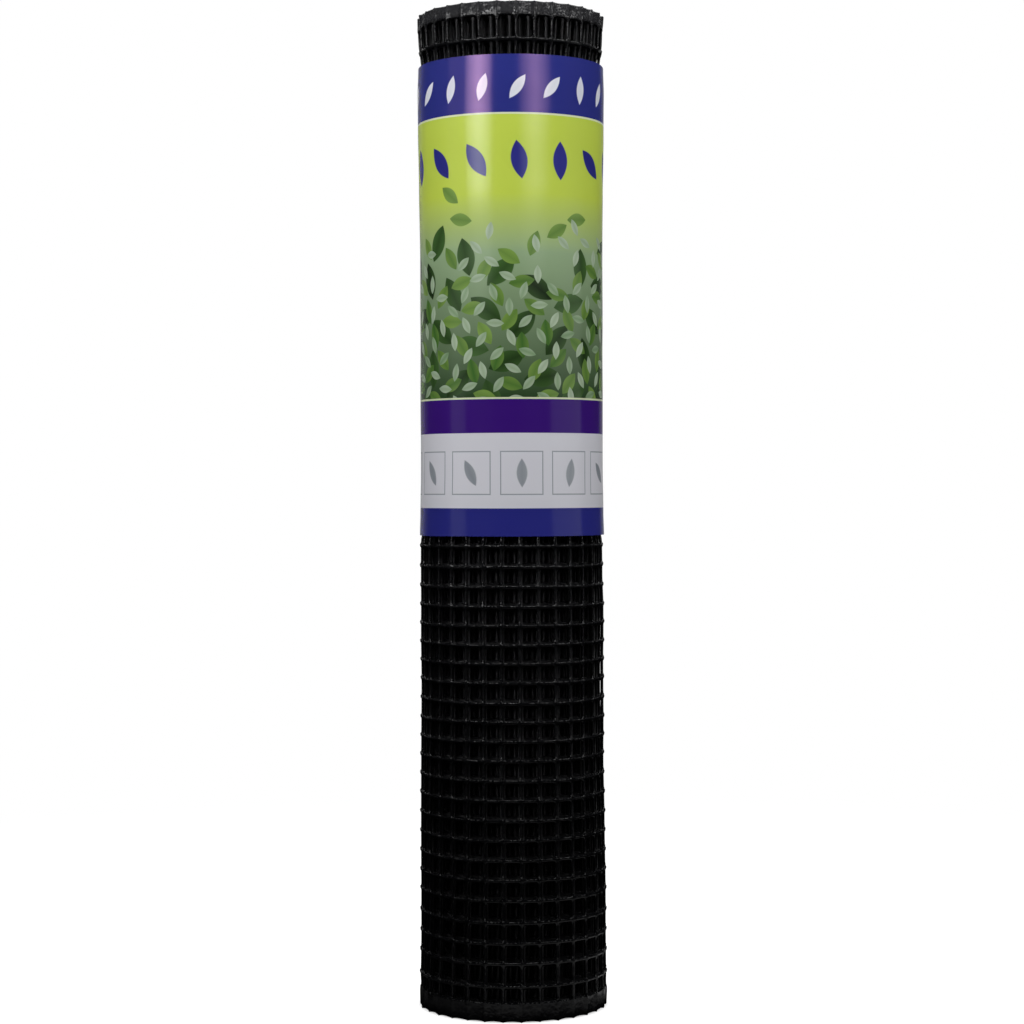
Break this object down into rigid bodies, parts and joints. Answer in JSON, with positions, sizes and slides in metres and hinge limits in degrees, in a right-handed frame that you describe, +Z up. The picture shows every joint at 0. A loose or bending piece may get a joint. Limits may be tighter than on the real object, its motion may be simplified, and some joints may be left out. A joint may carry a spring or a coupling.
{
  "type": "roll of plastic hardware netting",
  "caption": "Upright roll of black square-mesh plastic netting wound round an open middle, with a solid selvedge at each end and a printed paper sleeve that keeps it closed.",
  "frame": {"origin": "middle of the roll's foot, on the axis of the roll, at the surface it stands on", "axes": "+Z up along the roll's axis, -Y towards the viewer, away from the sleeve's overlap and the net's free end"},
  "size_m": [0.1162, 0.1162, 0.61],
  "materials": {
    "black_polyethylene": "extruded, semi-gloss",
    "printed_paper": "printed and gloss coated"
  },
  "bodies": {
    "root": {"net_roll": "black_polyethylene", "label_sleeve": "printed_paper"}
  },
  "joints": []
}
